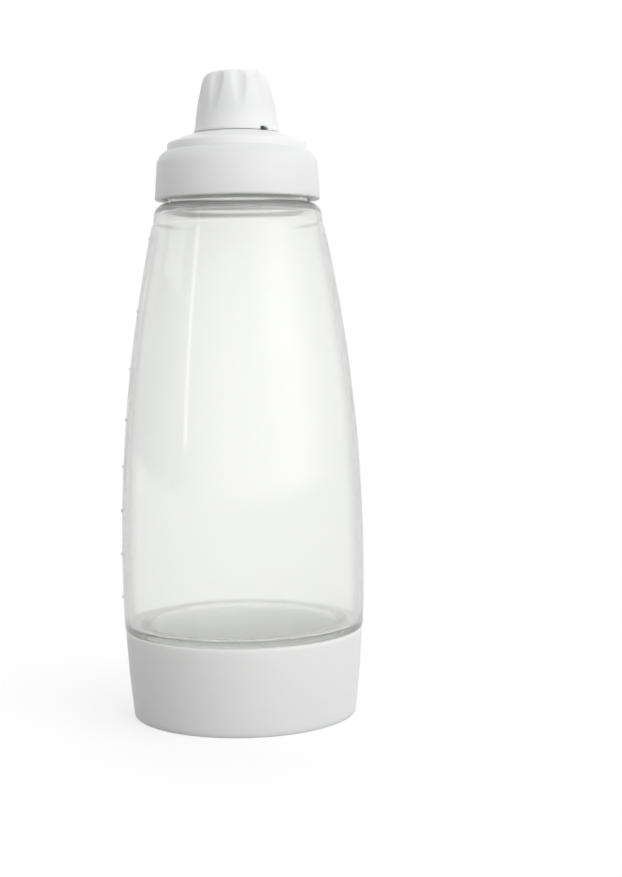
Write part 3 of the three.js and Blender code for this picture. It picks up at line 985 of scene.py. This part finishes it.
def makeFlowValve():
    size = SimpleNamespace(**flowValve)
    top = size.foot + size.thickness
    crown = (0, top + size.rise)
    hollow = (0, crown[1] - size.membrane)
    innerEdge = (size.edge - size.membrane, size.foot)
    obj = turnPiece(
        "drip_valve",
        [
            hollow,
            *swollen(hollow, innerEdge, -size.bulge, size.steps),
            (*innerEdge, crisp),
            (size.radius, size.foot, fine),
            (size.radius, top, fine),
            (size.edge, top, crisp),
            *swollen((size.edge, top), crown, size.bulge, size.steps),
            crown,
        ],
        slimSides,
        closed=False,
    )
    for turn in (0, math.pi / 2):
        letGo()
        bpy.ops.mesh.primitive_cube_add(size=1, location=(0, 0, (top + size.slitRise) * mm))
        slit = bpy.context.object
        slit.scale = (size.slitLength * mm, size.slitWidth * mm, size.slitDepth * mm)
        slit.rotation_euler.z = turn
        bpy.ops.object.transform_apply(location=True, rotation=True, scale=True)
        cutOrWeld(obj, slit, "DIFFERENCE")
    finishPiece(obj, valveSilicone, "flow_valve", "head")


makeFlowValve()


def makeRing(name, size, sides):
    # A small bead runs all round in the middle of each face, if bead says how high
    low, high, bead = size["foot"] + size["bead"], size["top"] - size["bead"], size["bead"]
    middle = (size["inner"] + size["outer"]) / 2
    under = [(middle - 2 * bead, low), (middle, size["foot"]), (middle + 2 * bead, low)]
    over = [(radius, size["top"] + size["foot"] - height) for radius, height in reversed(under)]
    return turnPiece(
        name,
        [
            (size["inner"], low, size["rounding"]),
            *((*place, bead) for place in under if bead),
            (size["outer"], low, size["rounding"]),
            (size["outer"], high, size["rounding"]),
            *((*place, bead) for place in over if bead),
            (size["inner"], high, size["rounding"]),
        ],
        sides,
    )


baseSeal = {"inner": 38.3, "outer": 39.6, "foot": 3.9, "top": 5.5, "rounding": 0.35, "bead": 0.12}
neckSeal = {"inner": 24.5, "outer": 26.9, "foot": 206.7, "top": 208, "rounding": 0.3, "bead": 0.16}
retainer = {"inner": 8.9, "outer": 11.8, "foot": 212.2, "top": 214.6, "rounding": 0.4, "bead": 0}
capLiner = {
    "radius": 8.9,
    "foot": 237.4,
    "top": 239,
    "rounding": 0.25,
    "dishRadius": 6.6,
    "dishSlope": 0.6,
    "dish": 0.15,
}


def makeSeals():
    ring = makeRing("base_seal_ring", baseSeal, wideSides)
    finishPiece(ring, gasketSilicone, "base_gasket", "base_seal")
    ring = makeRing("neck_seal_ring", neckSeal, wideSides)
    finishPiece(ring, gasketSilicone, "neck_gasket", "head")
    ring = makeRing("valve_retaining_ring", retainer, slimSides)
    finishPiece(ring, retainerPlastic, "valve_retainer", "head")
    size = SimpleNamespace(**capLiner)
    disc = turnPiece(
        "cap_liner_disc",
        [
            (0, size.foot + size.dish),
            (size.dishRadius - size.dishSlope, size.foot + size.dish, fine),
            (size.dishRadius, size.foot, fine),
            (size.radius, size.foot, size.rounding),
            (size.radius, size.top, size.rounding),
            (0, size.top),
        ],
        slimSides,
        closed=False,
    )
    finishPiece(disc, linerFoam, "cap_liner", "cap_seal")


makeSeals()


# Twist cap
twistCap = {
    "foot": 219.2,
    "footRadius": 15.95,
    "beadTop": 220.3,
    "beadStand": 0.35,
    "shoulder": 241.2,
    "topRadius": 11.7,
    "topReach": 2.46,  # of the rounding, along the wall and along the top
    "top": 241.9,
    "bulge": 0.55,
    "wallSteps": 26,
    "crownSteps": 10,
    "crownRise": 0.2,
    "crownShares": (0.5, 0.25),  # of the top's radius, for two points of its slight dome
    "crownLift": 0.45,
    "crownDrop": 0.06,
    "pickDepth": 1.1,  # how far inside the wall's line the flutes may reach
    "bore": 12.8,
    "boreTop": 229.8,
    "ceiling": 239.3,
    "wellFoot": 236.3,
    "wellRadius": 9.2,
}
flute = {"count": 9, "radius": 4.2, "depth": 1.1, "endShare": 0.6, "turn": -84, "softness": 0.35}
notch = {
    "width": 3.4,
    "height": 1.3,
    "depth": 1.1,
    "turn": -50.5,
    "softEdge": 0.3,
    "softSteps": 3,
    "overrun": 1,
}
# The dark spot in the notch is painted shade, laid over the cap's colour
notchShade = {
    "tone": (0.012, 0.014, 0.05, 1),
    "radius": 1.4,
    "height": 0.45,
    "flatness": 2.1,
    "softEdge": 0.8,
}


def addNotchShade(tree, plastic):
    # A dark spot painted in the notch: painted shade for its recess, laid on the cap's colour
    radius, turn = twistCap["footRadius"] - notch["depth"] / 2, math.radians(notch["turn"])
    height = (twistCap["foot"] + notchShade["height"]) * notchShade["flatness"]
    coords = addNode(tree, "TexCoord", (-1000, 700))
    back = Vector((radius * math.cos(turn), radius * math.sin(turn), height)) * -mm
    values = {1: (1, 1, notchShade["flatness"]), 2: back}
    centred = addVector(tree, (-800, 700), "MULTIPLY_ADD", values)
    away = addVector(tree, (-600, 700), "LENGTH")
    ends = (notchShade["radius"] * mm, (notchShade["radius"] + notchShade["softEdge"]) * mm)
    spot = addRange(tree, (-400, 700), "From", ends, interpolation_type="SMOOTHSTEP")
    spot.inputs["To Min"].default_value, spot.inputs["To Max"].default_value = 1, 0
    shadedSpot = addMix(tree, (-300, 550), {"B": notchShade["tone"]})
    under = plastic.inputs["Base Color"].links[0].from_socket
    connect(coords, "Object", centred, 0)
    connect(centred, "Vector", away, 0)
    connect(away, "Value", spot, "Value")
    connect(spot, "Result", shadedSpot, "Factor")
    tree.links.new(under, shadedSpot.inputs["A"])
    connect(shadedSpot, "Result", plastic, "Base Color")


# The cap's plastic carries the painted shade in its notch
capPlastic = makeWhitePlastic(
    "capPlastic", cloudScale=70, grainScale=1600, scuffed=0.5, roughness=(0.34, 0.48), notchShaded=True
)


def pressFlutes(obj):
    # Each flute is the mark of a leaning round bar, deepest at the top, with its edges softened
    size = SimpleNamespace(**twistCap)
    fade = size.top - flute["endShare"] * (size.top - size.foot)
    wallShare = (fade - size.foot) / (size.shoulder - size.foot)
    taper = size.topRadius - size.footRadius
    lowAxis = size.footRadius + taper * wallShare + size.bulge + flute["radius"]
    highAxis = size.topRadius + flute["radius"] - flute["depth"]
    lean = (highAxis - lowAxis) / (size.shoulder - fade)
    across = flute["radius"] / math.cos(math.atan(lean))
    step = fullTurn / flute["count"]
    mesh = bmesh.from_edit_mesh(obj.data)
    for vertex in mesh.verts:
        if not vertex.select:
            continue
        radius, height = vertex.co.xy.length / mm, vertex.co.z / mm
        angle = math.atan2(vertex.co.y, vertex.co.x) - math.radians(flute["turn"])
        angle = (angle + step / 2) % step - step / 2
        axis = lowAxis + lean * (height - fade)
        under = across**2 - (axis * math.sin(angle)) ** 2
        if under <= 0:
            continue
        face = axis * math.cos(angle) - math.sqrt(under)
        softness = flute["softness"]
        blend = max(0, min(1, 0.5 + 0.5 * (face - radius) / softness))
        wanted = face * (1 - blend) + radius * blend - softness * blend * (1 - blend)
        vertex.co.xy *= min(1, wanted / radius)
    bmesh.update_edit_mesh(obj.data)


def makeTwistCap():
    size = SimpleNamespace(**twistCap)
    wallFoot = (size.footRadius - size.beadStand, size.beadTop + size.beadStand)
    wallTop = (size.topRadius, size.shoulder)
    wall = swollen(wallFoot, wallTop, size.bulge, size.wallSteps)
    wall = [place for place in wall if place[1] < size.shoulder - size.topReach]
    crownEdge = (size.topRadius - size.topReach, size.shoulder + size.crownRise)
    obj = turnPiece(
        "fluted_twist_cap",
        [
            (0, size.ceiling),
            (size.wellRadius, size.ceiling, fine),
            (size.wellRadius, size.wellFoot, mild),
            (size.bore, size.boreTop, mild),
            (size.bore, size.foot, fine),
            (size.footRadius, size.foot, fine),
            (size.footRadius, size.beadTop, fine),
            (*wallFoot, fine),
            *wall,
            *eased(wall[-1], wallTop, crownEdge, size.crownSteps),
            (size.topRadius * size.crownShares[0], size.shoulder + size.crownLift),
            (size.topRadius * size.crownShares[1], size.top - size.crownDrop),
            (0, size.top),
        ],
        slimSides,
        closed=False,
    )
    hold(obj)
    setMode("EDIT")

    def onOuterWall(place):
        radius, height = place.xy.length / mm, place.z / mm
        share = (height - size.foot) / (size.shoulder - size.foot)
        line = size.footRadius + (size.topRadius - size.footRadius) * share
        return radius > line - size.pickDepth and height > size.beadTop

    pick(obj, onOuterWall)
    pressFlutes(obj)
    setMode("OBJECT")
    cutOrWeld(obj, joinShapes(matingRidges(capThread, nozzle["spout"], -1)), "UNION")
    cutNotch(obj)
    finishPiece(obj, capPlastic, "twist_cap", "cap")


def cutNotch(obj):
    letGo()
    depth, height, overrun = notch["depth"], notch["height"], notch["overrun"]
    bpy.ops.mesh.primitive_cube_add(size=1)
    block = bpy.context.object
    block.scale = ((depth + overrun) * mm, notch["width"] * mm, (height + overrun) * mm)
    block.location = (
        (twistCap["footRadius"] - (depth - overrun) / 2) * mm,
        0,
        (twistCap["foot"] + (height - overrun) / 2) * mm,
    )
    bpy.ops.object.transform_apply(location=True, scale=True)
    soften = block.modifiers.new("soften", "BEVEL")
    soften.width = notch["softEdge"] * mm
    soften.segments = notch["softSteps"]
    bpy.ops.object.modifier_apply(modifier=soften.name)
    block.rotation_euler.z = math.radians(notch["turn"])
    bpy.ops.object.transform_apply(rotation=True)
    cutOrWeld(obj, block, "DIFFERENCE")


makeTwistCap()


# Floor, studio light and camera
whiteTone = (1, 1, 1, 1)
studio = {
    "floorSize": 8,  # m
    "floorTone": 0.25,
    "mottle": 0.01,
    "litShare": 0.5,
    "glow": 0.572,
    "left": 0,
    "right": 0.9,
    "front": 1.7,
    "back": 1.9,
    "above": 0.4,
    "below": 0.5,
    "keyAzimuth": 57,
    "keyElevation": 11,
    "keyLevel": 1.5,
    "keySpread": 6,
    "cardFacing": (0, 1, 0.9),  # the white background runs up and over the object
    "cardEdge": (0.45, 0.85),
}
# Azimuth and elevation in degrees, distance, width and height in m, radiance, height aimed at
lamps = {
    "softboxRight": (40, 24, 0.85, 0.62, 0.3, 0.3, 0.12),
    "stripLeft": (-55, 16, 0.85, 0.05, 0.42, 3, 0.12),
    "fillTopLeft": (-85, 22, 0.4, 0.2, 0.2, 0.8, 0.215),
}
shot = {
    "place": (0, -0.5885, 0.1484),
    "lens": 63.626,
    "turn": -2.5747,
    "tilt": 85.702,
    "roll": -0.72,
}


def direction(azimuth, elevation):
    # From the object, in degrees; azimuth 0 is straight in front
    turn, lift = math.radians(azimuth), math.radians(elevation)
    flat = math.cos(lift)
    return Vector((math.sin(turn) * flat, -math.cos(turn) * flat, math.sin(lift)))


def seenDirectly(tree, place):
    # 1 where the camera, a reflection or clear plastic looks at the background
    path = addNode(tree, "LightPath", place)
    across, up = place
    glossy = addMath(tree, (across + 200, up), "MAXIMUM")
    seen = addMath(tree, (across + 400, up), "MAXIMUM")
    connect(path, "Is Glossy Ray", glossy, 0)
    connect(path, "Is Transmission Ray", glossy, 1)
    connect(path, "Is Camera Ray", seen, 0)
    connect(glossy, "Value", seen, 1)
    return path, glossy, seen


def makeFloor():
    letGo()
    bpy.ops.mesh.primitive_plane_add(size=studio["floorSize"])
    floor = bpy.context.object
    floor.name = "studio_floor"
    material, tree = newMaterial("floorPaper")
    coords = addNode(tree, "TexCoord", (-900, 200))
    mottle = addNode(tree, "TexNoise", (-700, 200), {"Scale": 3})
    ends = (studio["floorTone"] - studio["mottle"], studio["floorTone"] + studio["mottle"])
    tone = addRange(tree, (-500, 200), "To", ends)
    matt = addNode(tree, "BsdfDiffuse", (-200, 300))
    pale = addNode(tree, "BsdfDiffuse", (-200, 100), {"Color": (studio["litShare"],) * 3 + (1,)})
    glow = addNode(tree, "Emission", (-200, -100), {"Color": whiteTone, "Strength": studio["glow"]})
    white = addNode(tree, "AddShader", (50, 50))
    choice = addNode(tree, "MixShader", (300, 200))
    output = addNode(tree, "OutputMaterial", (500, 200))
    _, _, seen = seenDirectly(tree, (-900, -250))
    connect(coords, "Object", mottle, "Vector")
    connect(mottle, "Fac", tone, "Value")
    connect(tone, "Result", matt, "Color")
    connect(pale, "BSDF", white, 0)
    connect(glow, "Emission", white, 1)
    connect(seen, "Value", choice, "Fac")
    connect(matt, "BSDF", choice, 1)
    connect(white, "Shader", choice, 2)
    connect(choice, "Shader", output, "Surface")
    floor.data.materials.append(material)


def makeWorld():
    # The room is darker on the left; behind the object hangs a white background
    world = bpy.data.worlds.new("studioRoom")
    bpy.context.scene.world = world
    world.use_nodes = True
    tree = world.node_tree
    tree.nodes.clear()
    coords = addNode(tree, "TexCoord", (-1500, 300))
    sides = []
    for sign, values, row in (
        (1, (studio["right"], studio["back"], studio["above"]), 300),
        (-1, (studio["left"], studio["front"], studio["below"]), 0),
    ):
        facing = addVector(tree, (-1300, row), "SCALE", {"Scale": sign})
        ahead = addVector(tree, (-1100, row), "MAXIMUM")
        squared = addVector(tree, (-900, row), "MULTIPLY")
        level = addVector(tree, (-700, row), "DOT_PRODUCT", {1: values})
        connect(coords, "Generated", facing, 0)
        connect(facing, "Vector", ahead, 0)
        connect(ahead, "Vector", squared, 0)
        connect(ahead, "Vector", squared, 1)
        connect(squared, "Vector", level, 0)
        sides.append(level)
    room = addMath(tree, (-500, 200), "ADD")
    connect(sides[0], "Value", room, 0)
    connect(sides[1], "Value", room, 1)
    key = direction(studio["keyAzimuth"], studio["keyElevation"])
    towards = addVector(tree, (-1100, 550), "DOT_PRODUCT", {1: key})
    facingKey = addMath(tree, (-900, 550), "MAXIMUM", {1: 0})
    narrowed = addMath(tree, (-700, 550), "POWER", {1: studio["keySpread"]})
    withKey = addMath(tree, (-300, 400), "MULTIPLY_ADD", {1: studio["keyLevel"]})
    connect(coords, "Generated", towards, 0)
    connect(towards, "Value", facingKey, 0)
    connect(facingKey, "Value", narrowed, 0)
    connect(narrowed, "Value", withKey, 0)
    connect(room, "Value", withKey, 2)
    towardsCard = addVector(tree, (-1100, -300), "DOT_PRODUCT", {1: studio["cardFacing"]})
    connect(coords, "Generated", towardsCard, 0)
    edge = studio["cardEdge"]
    card = addRange(tree, (-900, -300), "From", edge, interpolation_type="SMOOTHSTEP")
    connect(towardsCard, "Value", card, "Value")
    path, indirect, _ = seenDirectly(tree, (-1100, -600))
    behind = addProduct(tree, (-500, -300), card, "Result", indirect, "Value")
    white = addMath(tree, (-300, -300), "MAXIMUM")
    connect(behind, "Value", white, 0)
    connect(path, "Is Camera Ray", white, 1)
    strength = addNode(tree, "Mix", (-100, 100), {"B": 1}, data_type="FLOAT")
    connect(white, "Value", strength, "Factor")
    connect(withKey, "Value", strength, "A")
    background = addNode(tree, "Background", (150, 100), {"Color": whiteTone})
    connect(strength, "Result", background, "Strength")
    output = addNode(tree, "OutputWorld", (350, 100))
    connect(background, "Background", output, "Surface")


def makeLamps():
    for name, (azimuth, elevation, distance, width, height, radiance, aimHeight) in lamps.items():
        away = direction(azimuth, elevation)
        place = Vector((0, 0, aimHeight)) + away * distance
        bpy.ops.object.light_add(type="AREA", location=place)
        light = bpy.context.object
        light.name = name
        light.data.shape = "RECTANGLE"
        light.data.size = width
        light.data.size_y = height
        light.data.energy = radiance * math.pi * width * height
        light.rotation_euler = away.to_track_quat("Z", "Y").to_euler()


def makeCamera():
    bpy.ops.object.camera_add(location=shot["place"])
    camera = bpy.context.object
    camera.name = "photo_camera"
    camera.data.lens = shot["lens"]
    aimed = (
        Matrix.Rotation(math.radians(shot["turn"]), 3, "Z")
        @ Matrix.Rotation(math.radians(shot["tilt"]), 3, "X")
        @ Matrix.Rotation(math.radians(shot["roll"]), 3, "Z")
    )
    camera.rotation_euler = aimed.to_euler()
    bpy.context.scene.camera = camera
    bpy.context.scene.view_settings.view_transform = "Standard"


makeFloor()
makeWorld()
makeLamps()
makeCamera()
letGo()
print("floor, light and camera set")
